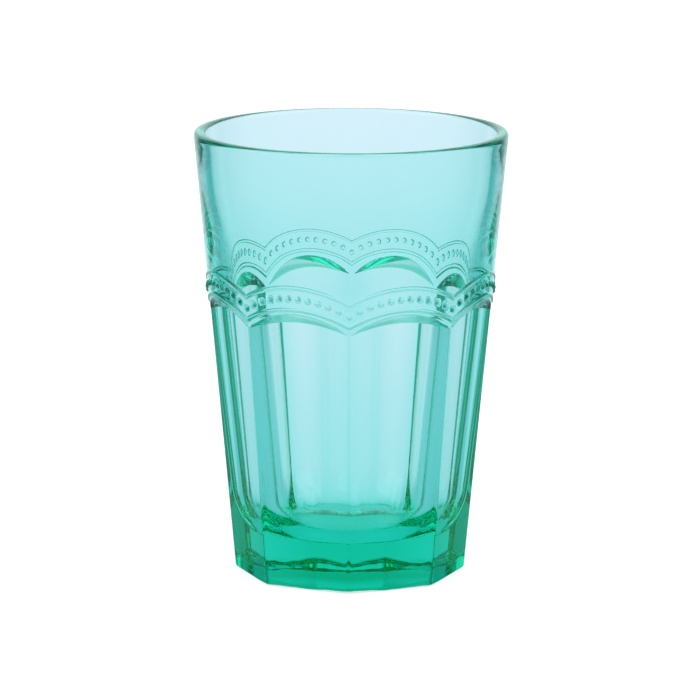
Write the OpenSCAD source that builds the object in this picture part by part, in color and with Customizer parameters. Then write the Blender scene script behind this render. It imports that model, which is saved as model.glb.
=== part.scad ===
// Highball glass of pressed coloured glass. A round conical wall stands on a solid eight-sided foot,
// and flat panels run up from the foot to a raised scalloped band with a row of beads.
// Millimetres, +Z up. The origin is the centre of the underside, and one corner between panels faces -Y.

/* [Overall] */
// Height from the table to the top of the lip
height = 127; // [110:1:160]
// Outside diameter at the lip
rim_d = 89.4; // [84:0.2:100]
// Diameter of the foot over its corners
foot_d = 65.6; // [63:0.2:74]

/* [Inside] */
// Thickness of the wall at the lip
rim_t = 3.3; // [1.6:0.1:4]
// Thickness of the glass under the inside floor
floor_t = 13; // [8:0.5:20]
// Diameter at which the inside wall would meet the floor, without its round corner
bore_d = 52.5; // [46:0.5:53]
// Radius of the round corner between the inside wall and the floor
corner_r = 12; // [6:0.5:14]
// Angle of the crease that the round corner leaves round the flat floor
crease = 20; // [12:1:30]

/* [Panels] */
// Number of flat panels
panel_n = 8; // [6:1:12]
// Width of the round strip left on the corner between two panels, at the table
strip_w = 0.8; // [0.4:0.1:2]
// Radius of the arch at the top of a panel
arch_r = 43.6; // [36:0.2:60]
// Height of the sloping ledge over the middle of a panel
ledge_h = 2.8; // [1:0.1:4]
// Plain wall between the ledge and the band, over the middle of a panel
ledge_gap = 0.9; // [0.1:0.05:1.5]

/* [Band] */
// Height of the top of a scallop above the table
band_z = 89.1; // [80:0.1:94]
// Height of the band from its upper to its lower edge
band_w = 7.35; // [5.5:0.05:8]
// Radius of a scallop, seen square to its panel
scallop_r = 30.2; // [26:0.2:40]
// How far the band stands proud of the wall
band_t = 0.15; // [0.1:0.05:0.8]
// Width of the ridge along each edge of the band
ridge_w = 1.05; // [0.6:0.05:1.4]
// How far a ridge stands proud of the band
ridge_t = 0.25; // [0.15:0.05:0.6]
// Plain wall between the tops of the scallops and the line where the panelled wall ends
wall_join = 1.2; // [0.6:0.1:3]

/* [Beads] */
// Number of beads on one scallop, with the one that it shares with its neighbour
bead_n = 11; // [7:1:13]
// Diameter of a bead where it leaves the band
bead_d = 1.8; // [1.2:0.1:2.2]
// Height of a bead above the band
bead_h = 0.55; // [0.3:0.05:0.9]

/* [Foot] */
// Width of the bevel round the underside
bevel = 0.5; // [0.3:0.1:1.5]
// Diameter of the hollow in the underside
dish_d = 44; // [30:1:50]
// Depth of the hollow in the underside
dish_h = 0.8; // [0.4:0.1:1.5]

/* [Hidden] */
$fn = 128;

glass_pale = [0.60, 0.90, 0.88, 0.55];
glass_mid = [0.42, 0.85, 0.80, 0.65];
glass_deep = [0.05, 0.74, 0.62, 0.80];

// The outside is one straight cone up to the rounded lip, and so is the inside above its round corner.
out_slope = (rim_d - foot_d) / 2 / height;
function out_r(z) = foot_d / 2 + out_slope * z;
lip_r = rim_t / 2;
lip_z = height - lip_r;
lip_mid = out_r(lip_z) - lip_r;
in_slope = (lip_mid - lip_r - bore_d / 2) / (lip_z - floor_t);
function in_r(z) = bore_d / 2 + in_slope * (z - floor_t);
out_lean = atan(out_slope);
in_lean = atan(in_slope);

// The wall is divided a little above the scallops.
join_z = band_z + wall_join;

// Centre of the round inside corner, its touching point on the wall and its edge on the floor.
corner_z = floor_t + corner_r * cos(crease);
corner_x = in_r(corner_z) - corner_r / cos(in_lean);
touch = [corner_x + corner_r * cos(in_lean), corner_z - corner_r * sin(in_lean)];
edge = [corner_x + corner_r * sin(crease), floor_t];

// A panel is a plane that leans out with the cone and leaves a narrow strip of it at each corner.
sector = 360 / panel_n;
half_chord = sector / 2 - asin(strip_w / foot_d);
flat_r = foot_d / 2 * cos(half_chord);
panel_lean = atan(out_slope * cos(half_chord));
first_panel = sector / 2 - 90;
reach = rim_d;

// Top of the panel's arch and top of its ledge, as [distance off the panel, height up the panel].
band_low = band_z - band_w;
ledge_z = band_low - ledge_gap;
arch_top = (ledge_z - ledge_h) / cos(panel_lean);
ledge_run = out_r(ledge_z) - flat_r;
ledge_top = [
    ledge_run * cos(panel_lean) - ledge_z * sin(panel_lean),
    ledge_run * sin(panel_lean) + ledge_z * cos(panel_lean)
];
ledge_rise = (ledge_top[1] - arch_top) / ledge_top[0];

// The hollow under the foot is the cap of a large ball.
dish_ball = (pow(dish_d / 2, 2) + pow(dish_h, 2)) / (2 * dish_h);

// The beads follow the middle of the band.
bead_z = band_z - band_w / 2;
bead_ball = (pow(bead_d / 2, 2) + pow(bead_h, 2)) / (2 * bead_h);
bead_fn = 32;
function scallop_z(angle) =
    bead_z - scallop_r + sqrt(pow(scallop_r, 2) - pow(out_r(bead_z) * sin(angle), 2));

// The drums that shape the scallops start inside the wall, and the ribbons start below their points.
drum_start = flat_r / 2;
ribbon_low = band_low - scallop_r / 2;

module on_panels() {
    for (i = [0 : panel_n - 1])
        rotate([0, 0, first_panel + i * sector])
            children();
}

// Space outside one panel, closed above by an arch that flares outwards as the ledge.
module panel_space() {
    translate([flat_r, 0, 0])
        rotate([0, panel_lean, 0]) {
            translate([0, -reach / 2, -reach])
                cube([reach, reach, reach + arch_top - arch_r]);
            translate([0, 0, arch_top - arch_r])
                rotate([0, 90, 0])
                    cylinder(h = reach, r1 = arch_r, r2 = arch_r + reach * ledge_rise);
        }
}

// Space outside the bevel under one panel.
module bevel_space() {
    translate([flat_r - bevel, 0, 0])
        rotate([0, 45, 0])
            translate([0, -reach / 2, -reach / 2])
                cube(reach);
}

// Half section of the inside, from the floor to above the lip.
module bore_section() {
    polygon([
        [0, floor_t],
        edge,
        touch,
        [in_r(height + rim_t), height + rim_t],
        [0, height + rim_t]
    ]);
    intersection() {
        translate([corner_x, corner_z])
            circle(corner_r);
        polygon([edge, [touch[0], edge[1]], touch]);
    }
}

module foot() {
    color(glass_deep)
        difference() {
            rotate_extrude()
                polygon([
                    [0, 0],
                    [foot_d / 2 - bevel, 0],
                    [out_r(bevel), bevel],
                    [out_r(floor_t), floor_t],
                    [0, floor_t]
                ]);
            on_panels() {
                panel_space();
                bevel_space();
            }
            translate([0, 0, dish_h - dish_ball])
                sphere(dish_ball);
        }
}

module panelled_wall() {
    color(glass_mid)
        difference() {
            translate([0, 0, floor_t])
                cylinder(h = join_z - floor_t, r1 = out_r(floor_t), r2 = out_r(join_z));
            on_panels() panel_space();
            rotate_extrude() bore_section();
        }
}

// Drums that lie square to the panels, with their tops at one level. Together they end in scallops.
module drums(top) {
    on_panels()
        translate([drum_start, 0, top - scallop_r])
            rotate([0, 90, 0])
                cylinder(h = reach, r = scallop_r);
}

// A scalloped ribbon all round the cone, between two levels of relief.
module ribbon(top, width, low_t, high_t) {
    difference() {
        intersection() {
            rotate_extrude()
                polygon([
                    [out_r(ribbon_low) + low_t, ribbon_low],
                    [out_r(ribbon_low) + high_t, ribbon_low],
                    [out_r(join_z) + high_t, join_z],
                    [out_r(join_z) + low_t, join_z]
                ]);
            drums(top);
        }
        drums(top - width);
    }
}

module scallop_band() {
    color(glass_mid)
        difference() {
            ribbon(band_z, band_w, 0, band_t + ridge_t);
            ribbon(band_z - ridge_w, band_w - 2 * ridge_w, band_t, band_t + 2 * ridge_t);
        }
}

// One bead: the cap of a ball, on the face of the band.
module bead(angle) {
    level = scallop_z(angle);
    rotate([0, 0, angle])
        translate([out_r(level) + band_t, 0, level])
            rotate([0, 90 + out_lean, 0])
                intersection() {
                    translate([0, 0, bead_h - bead_ball])
                        sphere(bead_ball, $fn = bead_fn);
                    translate([-bead_d, -bead_d, 0])
                        cube(2 * bead_d);
                }
}

module beads() {
    color(glass_pale)
        on_panels()
            for (i = [0 : bead_n - 1])
                bead((i / bead_n - 1 / 2) * sector);
}

module upper_wall() {
    color(glass_pale)
        rotate_extrude()
            polygon([
                [in_r(join_z), join_z],
                [out_r(join_z), join_z],
                [out_r(lip_z), lip_z],
                [in_r(lip_z), lip_z]
            ]);
}

module rim() {
    color(glass_mid)
        rotate_extrude()
            intersection() {
                translate([lip_mid, lip_z])
                    circle(lip_r);
                translate([lip_mid - rim_t, lip_z])
                    square(2 * rim_t);
            }
}

foot();
panelled_wall();
scallop_band();
beads();
upper_wall();
rim();
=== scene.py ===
# %% [markdown]
# # A pressed highball glass
# The object is one piece of clear aqua glass, pressed in a mould: a round wall above, eight flat panels
# below, a scalloped band of beads between them, and a thick foot. This lesson spins the half section of
# the glass, presses the panels and the band into the spun wall, fills the shape with coloured glass and
# sets it on a white sweep. The CAD frame comes first, because the glass has to stand where its solids are.

# %% Load the frame
import math
from collections import namedtuple
from functools import lru_cache

import bmesh
import bpy
from mathutils import Matrix, Quaternion, Vector, noise


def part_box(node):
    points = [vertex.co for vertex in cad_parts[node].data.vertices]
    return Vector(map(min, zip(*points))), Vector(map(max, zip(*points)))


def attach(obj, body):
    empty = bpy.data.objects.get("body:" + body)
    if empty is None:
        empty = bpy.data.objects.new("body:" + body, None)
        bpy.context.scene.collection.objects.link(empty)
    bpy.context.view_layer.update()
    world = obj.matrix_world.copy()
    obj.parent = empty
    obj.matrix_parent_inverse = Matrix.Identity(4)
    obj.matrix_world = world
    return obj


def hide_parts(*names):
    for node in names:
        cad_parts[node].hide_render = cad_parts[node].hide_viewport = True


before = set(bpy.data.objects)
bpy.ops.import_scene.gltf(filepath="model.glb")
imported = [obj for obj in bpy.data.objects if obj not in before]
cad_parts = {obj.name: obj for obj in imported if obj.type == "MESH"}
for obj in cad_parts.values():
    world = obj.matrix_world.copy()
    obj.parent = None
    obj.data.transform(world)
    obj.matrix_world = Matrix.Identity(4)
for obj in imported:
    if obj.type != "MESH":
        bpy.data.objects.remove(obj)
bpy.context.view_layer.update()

MM = 0.001
print("CAD nodes:", ", ".join(sorted(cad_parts)))

# %% [markdown]
# ## Sizes
# A glass like this is drawn as two cones, one outside and one inside, that a rounded lip joins. The outer
# cone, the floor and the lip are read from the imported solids, so the mesh lands where the solids are.
# The sizes that a box cannot show, such as the inside taper, are written here as named values. The inside
# has a faint waist at the band and a faint swell above it, which shift what is seen through the wall.

# %% Read the outer cone from the solids
foot_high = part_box("foot")[1]
rim_low, rim_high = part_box("rim")
floor_z = foot_high.z
lip_z = rim_low.z
lip_r = rim_high.z - lip_z
rim_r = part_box("upper_wall")[1].x
join_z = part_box("upper_wall")[0].z
out_slope = (rim_r - foot_high.x) / (lip_z - floor_z)


def out_r(z):
    """Radius of the outer cone at a height."""
    return foot_high.x + out_slope * (z - floor_z)


print(f"height {rim_high.z / MM:.1f} mm, rim {2 * rim_r / MM:.1f} mm, foot {2 * out_r(0) / MM:.1f} mm")

# %% Shape the inside
bore_r = 26.25 * MM
in_slope = (rim_r - 2 * lip_r - bore_r) / (lip_z - floor_z)
in_lean = math.atan(in_slope)
corner_r = 14 * MM
crease = math.radians(28)
swell_h, swell_z, swell_w = 0.2 * MM, 110 * MM, 10 * MM
waist_h, waist_z, waist_w = 0.65 * MM, 88 * MM, 12 * MM


def in_r(z):
    """Radius of the inside at a height: a cone with a swell and a waist."""
    swell = swell_h * math.exp(-((z - swell_z) / swell_w) ** 2)
    waist = waist_h * math.exp(-((z - waist_z) / waist_w) ** 2)
    return bore_r + in_slope * (z - floor_z) + swell - waist


corner_z = floor_z + corner_r * math.cos(crease)
corner_x = in_r(corner_z) - corner_r / math.cos(in_lean)
print(f"wall {(out_r(join_z) - in_r(join_z)) / MM:.1f} mm thick above the band")

# %% [markdown]
# ## Curves that run round the wall
# Panels, ledges and the band all end in arches that meet in points at the corners. On the wall each of
# them is one curve, a height that changes with the angle from the middle of a panel. If rows of the mesh
# follow those curves, every crease falls on a row, and the relief stays crisp with few faces.

# %% Panels
PANELS = 8
sector = 2 * math.pi / PANELS
strip_w = 0.8 * MM
half_chord = sector / 2 - math.asin(strip_w / 2 / out_r(0))
flat_r = out_r(0) * math.cos(half_chord)
panel_lean = math.atan(out_slope * math.cos(half_chord))
corner_blend = 0.25 * MM


def panel_r(turn, z):
    """Radius of the panelled outside, with the corner between two panels softly rounded."""
    flat = (flat_r + z * math.tan(panel_lean)) / math.cos(turn)
    cone = out_r(z)
    share = min(max(0.5 + 0.5 * (flat - cone) / corner_blend, 0), 1)
    return flat + (cone - flat) * share - corner_blend * share * (1 - share)


print(f"{PANELS} panels, {2 * flat_r / MM:.1f} mm across the flats at the table")

# %% Scallops and beads
scallop_r = 30.2 * MM
band_w = 7.35 * MM
band_t = 0.15 * MM
ridge_w = 1.05 * MM
ridge_t = 0.3 * MM
BEADS = 11
bead_d = 1.8 * MM
bead_h = 0.7 * MM
bead_ball = (bead_d ** 2 / 4 + bead_h ** 2) / (2 * bead_h)
bead_pitch = sector / BEADS
band_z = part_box("scallop_band")[1].z


def scallop(turn):
    """Height of the band's upper edge."""
    return band_z - scallop_r + math.sqrt(scallop_r ** 2 - (out_r(band_z) * math.sin(turn)) ** 2)


print(f"{PANELS * BEADS} beads, scallops from {scallop(sector / 2) / MM:.1f} to {scallop(0) / MM:.1f} mm")

# %% Arches and ledges
arch_r = 43.6 * MM
ledge_h = 2.8 * MM
ledge_gap = 0.9 * MM
ledge_z = band_z - band_w - ledge_gap
arch_top = (ledge_z - ledge_h) / math.cos(panel_lean)
arch_mid = arch_top - arch_r


def on_panel(turn, r, z):
    """A point of the wall, as its distance off the panel's plane, across the panel and up it."""
    out = r * math.cos(turn) - flat_r
    off = out * math.cos(panel_lean) - z * math.sin(panel_lean)
    up = out * math.sin(panel_lean) + z * math.cos(panel_lean)
    return off, r * math.sin(turn), up


ledge_off, _, ledge_up = on_panel(0, out_r(ledge_z), ledge_z)
ledge_rise = (ledge_up - arch_top) / ledge_off
LEDGE_PASSES = 8


def arch(turn):
    """Height of the panel's arched top."""
    across = out_r(ledge_z) * math.sin(min(abs(turn), half_chord))
    return (arch_mid + math.sqrt(arch_r ** 2 - across ** 2)) * math.cos(panel_lean)


def ledge(turn):
    """Height at which the flared arch over a panel comes out through the cone, found in a few passes."""
    z = arch(turn)
    for _ in range(LEDGE_PASSES):
        off, across, up = on_panel(turn, out_r(z), z)
        reach = arch_r + max(off, 0) * ledge_rise
        z += arch_mid + math.sqrt(reach ** 2 - across ** 2) - up
    return z


print(f"ledges from {arch(0) / MM:.1f} to {ledge(0) / MM:.1f} mm over the middle of a panel")

# %% [markdown]
# ## Zones of the outside
# Each zone of the outside says where a point lies from two numbers: its share of the way up the zone, and
# the column of the mesh that it stands in. A bead is the cap of a ball, and a ridge is half an ellipse on
# the slope from the wall to the band.

# %% Columns and curves
BEAD_COLUMNS = 9
STEPS = BEADS * BEAD_COLUMNS
bevel = 0.5 * MM
least_ledge = 0.25 * MM
Curves = namedtuple("Curves", "bevel arch ledge band_low trough_low trough_top band_top join lip")


def turn_of(column):
    """Angle from the middle of the nearest panel."""
    return (column % STEPS / STEPS - 0.5) * sector


@lru_cache(maxsize=None)
def heights(column):
    """Heights of the curves in a column, from the bevel to the lip."""
    turn = turn_of(column)
    top = scallop(turn)
    low = top - band_w
    ledge_here = min(max(ledge(turn), arch(turn) + least_ledge), low - ledge_gap / 2)
    return Curves(bevel, arch(turn), ledge_here, low, low + ridge_w, top - ridge_w, top, join_z, lip_z)


def between(low, high, share):
    """A value part of the way from one to another."""
    return low + (high - low) * share


print(PANELS * STEPS, "columns round the glass")

# %% Underside and foot
dish_r = 22 * MM
dish_h = 0.8 * MM
dish_ball = (dish_r ** 2 + dish_h ** 2) / (2 * dish_h)


def dish(share, column):
    r = dish_r * share
    return r, dish_h - dish_ball + math.sqrt(dish_ball ** 2 - r ** 2)


def resting_ring(share, column):
    return between(dish_r, panel_r(turn_of(column), 0) - bevel, share), 0.0


def bevelled_edge(share, column):
    angle = share * math.pi / 2
    z = bevel * (1 - math.cos(angle))
    return panel_r(turn_of(column), z) - bevel * (1 - math.sin(angle)), z


def panel(share, column):
    here = heights(column)
    z = between(here.bevel, here.arch, share)
    return panel_r(turn_of(column), z), z


print(f"resting ring {(flat_r - bevel - dish_r) / MM:.1f} mm wide under the middle of a panel")

# %% Ledge and plain wall
# A power above 1 makes the ledge hollow.
ledge_cove = 1.2


def sloping_ledge(share, column):
    here = heights(column)
    inner = panel_r(turn_of(column), here.arch)
    r = between(inner, out_r(here.ledge), share ** ledge_cove)
    return r, between(here.arch, here.ledge, share)


def on_cone(z, relief=0.0):
    """A point of the cone, or one that stands proud of it."""
    return out_r(z) + relief, z


def wall_under_band(share, column):
    here = heights(column)
    return on_cone(between(here.ledge, here.band_low, share))


def wall_over_band(share, column):
    here = heights(column)
    return on_cone(between(here.band_top, here.join, share))


def top_wall(share, column):
    here = heights(column)
    return on_cone(between(here.join, here.lip, share))


print(f"ledge {(out_r(ledge(0)) - panel_r(0, arch(0))) / MM:.1f} mm deep over the middle of a panel")


# %% Band and beads
def ridge(share):
    """Relief across a ridge, from its outer edge to the band."""
    return band_t * share + (ridge_t + band_t / 2) * math.sqrt(1 - (2 * share - 1) ** 2)


def lower_ridge(share, column):
    here = heights(column)
    return on_cone(between(here.band_low, here.trough_low, share), ridge(share))


def trough(share, column):
    here = heights(column)
    z = between(here.trough_low, here.trough_top, share)
    offset = (turn_of(column) + sector / 2 + bead_pitch / 2) % bead_pitch - bead_pitch / 2
    bead = heights(round(column - offset / sector * STEPS))
    bead_z = (bead.trough_low + bead.trough_top) / 2
    apart = math.hypot(out_r(z) * offset, z - bead_z)
    dome = 0.0
    if apart < bead_d / 2:
        dome = math.sqrt(bead_ball ** 2 - apart ** 2) - (bead_ball - bead_h)
    return on_cone(z, band_t + dome)


def upper_ridge(share, column):
    here = heights(column)
    return on_cone(between(here.trough_top, here.band_top, share), ridge(1 - share))


print(f"ridges {ridge(0.5) / MM:.2f} mm and beads {(band_t + bead_h) / MM:.2f} mm proud of the wall")

# %% [markdown]
# ## The half section
# A wheel of glass is drawn as half a section and spun. Each point of the section carries a level, which
# is the number of its zone plus its share of the way up it. Points of the inside and the lip stay round,
# so they carry TURNED. Extra rows close to a crease hold it when the faces are shaded smooth.

# %% Zones from the underside to the lip
TURNED = -1.0


def shares(count, close=()):
    """Even shares of a zone, with a few more close to each end."""
    return sorted({i / count for i in range(count)} | set(close) | {1 - c for c in close})


ZONES = [
    (dish, shares(3, (0.03,))),
    (resting_ring, shares(2, (0.03,))),
    (bevelled_edge, shares(6)),
    (panel, shares(5, (0.002, 0.008))),
    (sloping_ledge, shares(6, (0.05,))),
    (wall_under_band, shares(2)),
    (lower_ridge, shares(7)),
    (trough, shares(16)),
    (upper_ridge, shares(7)),
    (wall_over_band, shares(3, (0.08,))),
    (top_wall, shares(3)),
]


@lru_cache(maxsize=None)
def place(level, column):
    """Radius and height of the outside at a level, in one column."""
    zone, _ = ZONES[int(level)]
    return zone(level % 1, column)


print(len(ZONES), "zones,", sum(len(rows) for _, rows in ZONES), "rows outside")

# %% Draw the inside of the section
# Rows lie closer together where the inside curves.
FLOOR_SHARES = (0, 0.4, 0.6, 0.75, 0.87, 0.97)
CORNER_ROWS = 19
WALL_SHARES = (0.03, 0.25, 0.38, 0.45, 0.5, 0.55, 0.6, 0.64,
               0.68, 0.72, 0.77, 0.82, 0.87, 0.92, 0.955, 0.98)
shape = bmesh.new()
level_of = shape.verts.layers.float.new("level")
pen = []


def draw(r, z, level=TURNED):
    """Adds a point of the section and joins it to the one before."""
    point = shape.verts.new((r, 0, z))
    point[level_of] = level
    if pen:
        shape.edges.new((pen[-1], point))
    pen.append(point)


floor_edge = corner_x + corner_r * math.sin(crease)
for share in FLOOR_SHARES:
    draw(floor_edge * share, floor_z)
for i in range(CORNER_ROWS + 1):
    angle = crease + (math.pi / 2 - in_lean - crease) * i / CORNER_ROWS
    draw(corner_x + corner_r * math.sin(angle), corner_z - corner_r * math.cos(angle))
touch_z = corner_z - corner_r * math.sin(in_lean)
for share in WALL_SHARES:
    z = between(touch_z, lip_z, share)
    draw(in_r(z), z)
print(len(pen), "points inside")

# %% Draw the lip and the outside
LIP_ROWS = 12
# A power below 1 makes the lip squarer than half a circle.
LIP_POWER = 0.7
for i in range(LIP_ROWS + 1):
    angle = math.pi * i / LIP_ROWS
    across = math.copysign(abs(math.cos(angle)) ** LIP_POWER, math.cos(angle))
    draw(rim_r - lip_r - lip_r * across, lip_z + lip_r * math.sin(angle) ** LIP_POWER)
for number in reversed(range(len(ZONES))):
    for share in reversed(ZONES[number][1]):
        draw(*place(number + share, 0), number + share)
print(len(pen), "points in the section")

# %% [markdown]
# ## Spin and press
# One spin through an eighth of a turn makes a blank for one panel. The mould then presses its outside: each
# point goes to the place that its level and its column name. Seven turned copies complete the glass. Points
# that fall together are merged, and the normals are made to agree at the end, because glass bends light by
# them.

# %% Spin the blank of one panel
bmesh.ops.spin(shape, geom=shape.verts[:] + shape.edges[:], cent=(0, 0, 0), axis=(0, 0, 1),
               angle=sector, steps=STEPS)
print(len(shape.verts), "points,", len(shape.faces), "faces in the blank")

# %% Press the outside
LEVEL_DIGITS = 6
pressed = 0
for point in shape.verts:
    level = round(point[level_of], LEVEL_DIGITS)
    if level >= 0:
        angle = math.atan2(point.co.y, point.co.x)
        r, z = place(level, round(angle / sector * STEPS))
        point.co = (r * math.cos(angle), r * math.sin(angle), z)
        pressed += 1
print(pressed, "points pressed")

# %% Copy the panel round the glass
MERGE = 0.002 * MM
panel_geometry = shape.verts[:] + shape.edges[:] + shape.faces[:]
for number in range(1, PANELS):
    copy = bmesh.ops.duplicate(shape, geom=panel_geometry)["geom"]
    bmesh.ops.rotate(shape, verts=[part for part in copy if isinstance(part, bmesh.types.BMVert)],
                     cent=(0, 0, 0), matrix=Matrix.Rotation(number * sector, 3, "Z"))
bmesh.ops.remove_doubles(shape, verts=shape.verts[:], dist=MERGE)
print(len(shape.verts), "points in the whole glass")

# %% [markdown]
# ## Marks of the press
# The plunger is colder than the glass, so the edge of the inside floor sets in small wrinkles, here at the
# back. The mould only just fills at the foot, so the bottom edge is rounded off at the front and back
# corners, and the underside rises a little towards it. Both bend the light where the glass is thickest,
# and draw the wavy lines that show a pressed glass. They run across the panels, so they come after the
# copies, and a noise in space varies how far each point moves.

# %% Wrinkle the edge of the inside floor
WRINKLE = 0.7 * MM
WRINKLE_RISE = -0.5
WRINKLE_SCALE = 6.0
WRINKLE_W = 3.5 * MM
WRINKLED_BACK = 0.7


def fade(value, low, high):
    """A smooth step from 0 at one value to 1 at another."""
    share = min(max((value - low) / (high - low), 0), 1)
    return share * share * (3 - 2 * share)


moves = []
for point in shape.verts:
    if point[level_of] == TURNED and point.co.z < corner_z:
        flat = Vector((point.co.x, point.co.y, 0))
        near = math.exp(-((flat.length - floor_edge) / WRINKLE_W) ** 2)
        out = flat.normalized()
        height = WRINKLE_RISE + noise.noise(out * WRINKLE_SCALE)
        move = WRINKLE * near * fade(out.y, 0, WRINKLED_BACK) * height
        point.co.z += move
        moves.append(move)
print(f"wrinkles from {min(moves) / MM:.2f} to {max(moves) / MM:.2f} mm")

# %% Round off the bottom edge
LIFT = 0.8 * MM
SPREAD = 3.0
EDGE_RISE = 1.7
ROUGH, ROUGH_SCALE = 0.35, 7.0
END_FROM = 0.5
FRONT_SHARE = 0.5
FLAT_SHARE = 0.2
LIFTED_Z = 6 * MM
PANEL_SHARE = 0.1
zones = [zone for zone, _ in ZONES]
RING = zones.index(resting_ring)
EDGE = zones.index(bevelled_edge)
LIFTED_TO = zones.index(panel) + PANEL_SHARE


def edge_lift(out):
    """How far the bottom edge is lifted in a direction: at the back, and less at the front."""
    corner = 0.5 + 0.5 * math.cos(PANELS * (math.atan2(out.y, out.x) + math.pi / 2))
    end = fade(out.y, END_FROM, 1) + FRONT_SHARE * fade(-out.y, END_FROM, 1)
    rough = ROUGH * noise.noise(out * ROUGH_SCALE)
    return LIFT * end * max(FLAT_SHARE + (1 - FLAT_SHARE) * corner + rough, 0)


for point in shape.verts:
    level = point[level_of]
    if RING <= level < LIFTED_TO:
        out = Vector((point.co.x, point.co.y, 0)).normalized()
        lift = edge_lift(out)
        along = min(level - RING, 1)
        angle = min(max(level - EDGE, 0), 1) * math.pi / 2
        point.co -= out * lift * SPREAD * along * (1 - math.sin(angle))
        rise = along ** 2 + EDGE_RISE * (1 - math.cos(angle))
        point.co.z += lift * rise * (1 - fade(point.co.z, bevel, LIFTED_Z))
print(f"back corner lifted by {edge_lift(Vector((0, 1, 0))) * (1 + EDGE_RISE) / MM:.1f} mm")

# %% Make the glass a piece
ML = 1e-6
bmesh.ops.recalc_face_normals(shape, faces=shape.faces[:])
for face in shape.faces:
    face.smooth = True
open_edges = [edge for edge in shape.edges if len(edge.link_faces) != 2]
volume = shape.calc_volume() / ML
print(f"{len(shape.faces)} faces, {len(open_edges)} open edges, {volume:.0f} ml of glass")
mesh = bpy.data.meshes.new("tumbler")
shape.to_mesh(mesh)
shape.free()
tumbler = bpy.data.objects.new("tumbler", mesh)
bpy.context.scene.collection.objects.link(tumbler)
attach(tumbler, "root")
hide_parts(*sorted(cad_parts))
print("tumbler stands for", ", ".join(sorted(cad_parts)))

# %% [markdown]
# ## Glass, coloured through
# Pressed glass has its colour inside, so thick places are deep green and thin walls almost clear. That is
# what Volume Absorption does: the surface is clear, and the light loses red along its way. The surface has
# the faint waves that a mould leaves, as a bump. A small class keeps the shader maths readable.

# %% Node helper
class Wire:
    """A socket of a node tree: arithmetic on it adds Math nodes, and node() adds any other node."""

    def __init__(self, tree, socket=None):
        self.tree = tree
        self.socket = socket

    def node(self, kind, settings=None, values=None, output=0):
        made = self.tree.nodes.new(kind)
        for name, setting in (settings or {}).items():
            setattr(made, name, setting)
        for name, value in (values or {}).items():
            if isinstance(value, Wire):
                self.tree.links.new(value.socket, made.inputs[name])
            else:
                made.inputs[name].default_value = value
        return Wire(self.tree, made.outputs[output] if made.outputs else None)

    def maths(self, operation, first, second=0.0):
        return self.node("ShaderNodeMath", {"operation": operation}, {0: first, 1: second})

    def __add__(self, other):
        return self.maths("ADD", self, other)

    def __rsub__(self, other):
        return self.maths("SUBTRACT", other, self)

    def __mul__(self, other):
        return self.maths("MULTIPLY", self, other)

    __radd__ = __add__
    __rmul__ = __mul__


def clean_tree(owner):
    """The empty node tree of a material or world."""
    owner.use_nodes = True
    owner.node_tree.nodes.clear()
    return Wire(owner.node_tree)


print("a Wire adds, subtracts and multiplies sockets")

# %% Aqua glass
WHITE = (1, 1, 1, 1)
GLASS_IOR = 1.52
GLASS_TINT = (0.0, 0.906, 0.80, 1)
GLASS_DENSITY = 80.0
WAVE_SCALE, WAVE_DETAIL = 90.0, 1.0
WAVE_STRENGTH, WAVE_H = 0.08, 0.1 * MM
SMUDGE_SCALE, SMUDGE_DETAIL = 35.0, 3.0
SMUDGE = 0.01


def aqua_glass():
    material = bpy.data.materials.new("aqua_glass")
    tree = clean_tree(material)
    spot = tree.node("ShaderNodeTexCoord", output="Object")
    waves = tree.node("ShaderNodeTexNoise", {}, {"Vector": spot, "Scale": WAVE_SCALE, "Detail": WAVE_DETAIL})
    skin = tree.node("ShaderNodeBump", {}, {"Height": waves, "Strength": WAVE_STRENGTH, "Distance": WAVE_H})
    smudge = tree.node("ShaderNodeTexNoise", {},
                       {"Vector": spot, "Scale": SMUDGE_SCALE, "Detail": SMUDGE_DETAIL})
    surface = tree.node("ShaderNodeBsdfPrincipled", {}, {
        "Base Color": WHITE, "Roughness": smudge * SMUDGE, "IOR": GLASS_IOR,
        "Transmission Weight": 1.0, "Normal": skin,
    })
    inside = tree.node("ShaderNodeVolumeAbsorption", {}, {"Color": GLASS_TINT, "Density": GLASS_DENSITY})
    tree.node("ShaderNodeOutputMaterial", {}, {"Surface": surface, "Volume": inside})
    return material


mesh.materials.append(aqua_glass())
print("aqua_glass on", tumbler.name)

# %% [markdown]
# ## Floor, world and light
# Clear glass shows only what stands round it. The studio is a white sweep, which is cool in the shade,
# greener low above the floor, and falls off to the left and right behind the glass. Under the foot it has
# a painted shadow in the tint of the glass, and close to the foot a painted shade darkens what the glass
# mirrors. The camera sees the sweep burnt out to white, and the glass sees its tones. They darken the
# places where the glass bends light sideways, and draw its edges.

# %% Shader helpers
# Mix has sockets for every kind of value, and these are the numbers of those for colours.
MIX_FIRST, MIX_SECOND, MIX_COLOUR = 6, 7, 2


def ramp(tree, value, low, high):
    """A smooth step from 0 at one value to 1 at another."""
    return tree.node("ShaderNodeMapRange", {"interpolation_type": "SMOOTHSTEP"},
                     {"Value": value, "From Min": low, "From Max": high})


def blend(tree, share, first, second):
    """A colour part of the way from one colour to another."""
    return tree.node("ShaderNodeMix", {"data_type": "RGBA"},
                     {0: share, MIX_FIRST: first, MIX_SECOND: second}, MIX_COLOUR)


def rays(tree, *kinds):
    """1 or more for the kinds of ray that are named, and 0 for others."""
    return sum(tree.node("ShaderNodeLightPath", output=f"Is {kind} Ray") for kind in kinds)


def mirrored(tree):
    """1 for a ray that a surface has just mirrored."""
    return rays(tree, "Glossy") * (1 - rays(tree, "Transmission"))


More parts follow.
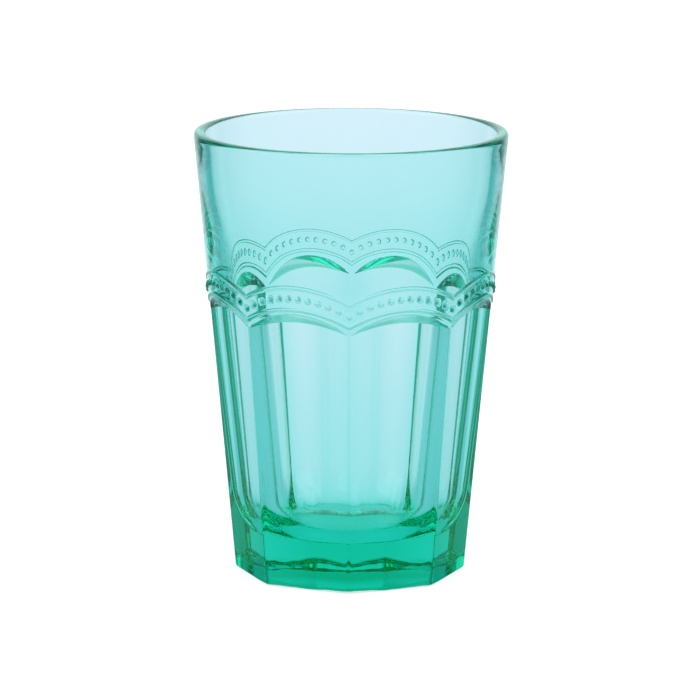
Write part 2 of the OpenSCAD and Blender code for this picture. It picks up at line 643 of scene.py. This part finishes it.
def seen_by(tree, light, glass, camera):
    """A shader that shows one face to scattered light, one to the glass and one to the camera."""
    bent = rays(tree, "Glossy", "Transmission")
    face = tree.node("ShaderNodeMixShader", {}, {0: bent, 1: light, 2: glass})
    return tree.node("ShaderNodeMixShader", {}, {0: rays(tree, "Camera"), 1: face, 2: camera})


print("helpers for ramps, blends and kinds of ray")

# %% Tones of the sweep
SWEEP = (0.91, 0.92, 1.05, 1)
# GLINT is a painted reflection: the sweep as the glass mirrors it is cooler and brighter than white.
GLINT = (0.85, 1.15, 1.20, 1)
SIDE = (0.40, 0.68, 0.76, 1)
SHADE = (0.10, 0.42, 0.44, 1)
SKY = (0.32, 0.70, 0.66, 1)
# Angles to either side of straight back and above the floor, at which a tone starts and is full. Where
# there are four, it fades at the third and is gone at the fourth.
SIDE_TURN = [math.radians(angle) for angle in (26, 44)]
SHADE_TURN = [math.radians(angle) for angle in (27, 43, 58, 92)]
SHADE_LIFT = [math.radians(angle) for angle in (30, 60)]
SKY_LIFT = [math.radians(angle) for angle in (3, 9, 17, 25)]
# Distances from the middle of the glass.
NEAR, FAR = 0.12, 0.45


def sweep_tone(tree):
    """Colour of the sweep in a direction from the glass, with a shade far off on either side."""
    spot = tree.node("ShaderNodeTexCoord", output="Object")
    x, y, z = (tree.node("ShaderNodeSeparateXYZ", {}, {0: spot}, axis) for axis in "XYZ")
    away = tree.maths("SQRT", x * x + y * y)
    aside = tree.maths("ARCTAN2", tree.maths("ABSOLUTE", x), y)
    lift = tree.maths("ARCTAN2", z, away)
    dark = ramp(tree, aside, *SHADE_TURN[:2]) * (1 - ramp(tree, aside, *SHADE_TURN[2:]))
    dark = dark * (1 - ramp(tree, lift, *SHADE_LIFT)) * ramp(tree, away, NEAR, FAR)
    sky = ramp(tree, lift, *SKY_LIFT[:2]) * (1 - ramp(tree, lift, *SKY_LIFT[2:]))
    # What a surface has just mirrored takes the painted reflection tone.
    colour = blend(tree, mirrored(tree), blend(tree, sky, SWEEP, SKY), GLINT)
    colour = blend(tree, ramp(tree, aside, *SIDE_TURN), colour, SIDE)
    return blend(tree, dark, colour, SHADE)


shaded_from, shaded_to = math.degrees(SHADE_TURN[0]), math.degrees(SHADE_TURN[-1])
print(f"sweep shaded from {shaded_from:.0f} to {shaded_to:.0f} degrees to either side")

# %% White sweep
PAPER = (0.85, 0.85, 0.85, 1)
GLOW = 0.55
BLACK = (0, 0, 0, 1)
# The floor under the foot is painted with a green shadow, as if it were lit only through the glass.
PAINTED_FOOT_SHADOW = (0.08, 0.70, 0.65, 1)
FOOT_SHADOW_FROM, FOOT_SHADOW_TO = 0.028, 0.045
# Painted shade on the floor that the glass mirrors close to the foot, at the front and at the back.
FRONT_SHADE, BACK_SHADE = 0.95, 0.6


def white_sweep():
    material = bpy.data.materials.new("white_sweep")
    tree = clean_tree(material)
    paper = tree.node("ShaderNodeBsdfDiffuse", {}, {"Color": PAPER})
    burnt = tree.node("ShaderNodeEmission", {}, {"Color": WHITE, "Strength": GLOW})
    white = tree.node("ShaderNodeAddShader", {}, {0: paper, 1: burnt})
    spot = tree.node("ShaderNodeTexCoord", output="Object")
    y = tree.node("ShaderNodeSeparateXYZ", {}, {0: spot}, "Y")
    away = tree.node("ShaderNodeVectorMath", {"operation": "LENGTH"}, {0: spot}, "Value")
    # Under the foot the glass sees the painted green shadow instead of the sweep.
    tone = blend(tree, ramp(tree, away, FOOT_SHADOW_FROM, FOOT_SHADOW_TO), PAINTED_FOOT_SHADOW, sweep_tone(tree))
    # Close to the foot, what the glass mirrors is darkened towards black: a painted shade, stronger at the
    # front.
    shade = FRONT_SHADE + ramp(tree, y, -NEAR / 2, NEAR / 2) * (BACK_SHADE - FRONT_SHADE)
    tone = blend(tree, mirrored(tree) * shade * (1 - ramp(tree, away, NEAR / 2, FAR)), tone, BLACK)
    tones = tree.node("ShaderNodeEmission", {}, {"Color": tone})
    tree.node("ShaderNodeOutputMaterial", {}, {"Surface": seen_by(tree, paper, tones, white)})
    return material


print(f"floor tinted within {FOOT_SHADOW_TO / MM:.0f} mm of the middle")

# %% Floor
FLOOR_SIZE = 4.0
FLOOR_Z = -0.1 * MM
sheet = bmesh.new()
bmesh.ops.create_grid(sheet, x_segments=1, y_segments=1, size=FLOOR_SIZE)
bmesh.ops.translate(sheet, verts=sheet.verts[:], vec=(0, 0, FLOOR_Z))
floor_mesh = bpy.data.meshes.new("floor")
sheet.to_mesh(floor_mesh)
sheet.free()
floor_mesh.materials.append(white_sweep())
floor = bpy.data.objects.new("floor", floor_mesh)
bpy.context.scene.collection.objects.link(floor)
print("floor", 2 * FLOOR_SIZE, "m wide")

# %% World
ROOM = 0.6
world = bpy.data.worlds.new("studio")
bpy.context.scene.world = world
studio = clean_tree(world)
room = studio.node("ShaderNodeBackground", {}, {"Color": WHITE, "Strength": ROOM})
tones = studio.node("ShaderNodeBackground", {}, {"Color": sweep_tone(studio)})
white = studio.node("ShaderNodeBackground", {}, {"Color": WHITE})
studio.node("ShaderNodeOutputWorld", {}, {"Surface": seen_by(studio, room, tones, white)})
print("world lights the room at", ROOM)

# %% Soft boxes
BOX_SIZE = 1.4
BOX_POWER = 6.0
LEFT_BOX = Vector((-1.0, -0.5, 1.0))
RIGHT_BOX = Vector((1.0, -0.3, 1.0))


def soft_box(name, place_at):
    """A square lamp that looks at the middle of the glass."""
    data = bpy.data.lights.new(name, "AREA")
    data.shape = "SQUARE"
    data.size = BOX_SIZE
    data.energy = BOX_POWER
    lamp = bpy.data.objects.new(name, data)
    lamp.location = place_at
    aim = Vector((0, 0, rim_high.z / 2)) - place_at
    lamp.rotation_euler = aim.to_track_quat("-Z", "Y").to_euler()
    bpy.context.scene.collection.objects.link(lamp)


soft_box("left_box", LEFT_BOX)
soft_box("right_box", RIGHT_BOX)
print("two soft boxes of", BOX_POWER, "W")

# %% [markdown]
# ## Camera
# The photograph was taken with a long lens, from a little above the rim, with a corner of the foot towards
# the camera. Its angles come from fitting the rim's ellipse and the corners of the foot. Light bounces many
# times inside the thick foot, so the paths are long.

# %% Camera
LENS = 234.25
SENSOR = 36
CLIP = 0.01
CAMERA_TURN = math.radians(0.5)
CAMERA_DOWN = math.radians(11.37)
CAMERA_ROLL = math.radians(0.19)
CAMERA_FAR = 1.3007
AIM = Vector((-0.13, 0, 63.49)) * MM
ground = math.cos(CAMERA_DOWN)
back = Vector((math.sin(CAMERA_TURN) * ground, -math.cos(CAMERA_TURN) * ground, math.sin(CAMERA_DOWN)))
camera = bpy.data.objects.new("camera", bpy.data.cameras.new("camera"))
camera.data.sensor_width = SENSOR
camera.data.lens = LENS
camera.data.clip_start = CLIP
camera.location = AIM + back * CAMERA_FAR
camera.rotation_euler = ((-back).to_track_quat("-Z", "Y") @ Quaternion((0, 0, 1), CAMERA_ROLL)).to_euler()
bpy.context.scene.collection.objects.link(camera)
bpy.context.scene.camera = camera
print(f"camera {CAMERA_FAR:.2f} m away, looking down by {math.degrees(CAMERA_DOWN):.1f} degrees")

# %% View and light paths
BOUNCES = 32
MIRROR_BOUNCES = 16
scene = bpy.context.scene
scene.view_settings.view_transform = "Standard"
scene.cycles.max_bounces = BOUNCES
scene.cycles.transmission_bounces = BOUNCES
scene.cycles.glossy_bounces = MIRROR_BOUNCES
print("light paths of up to", BOUNCES, "bounces")
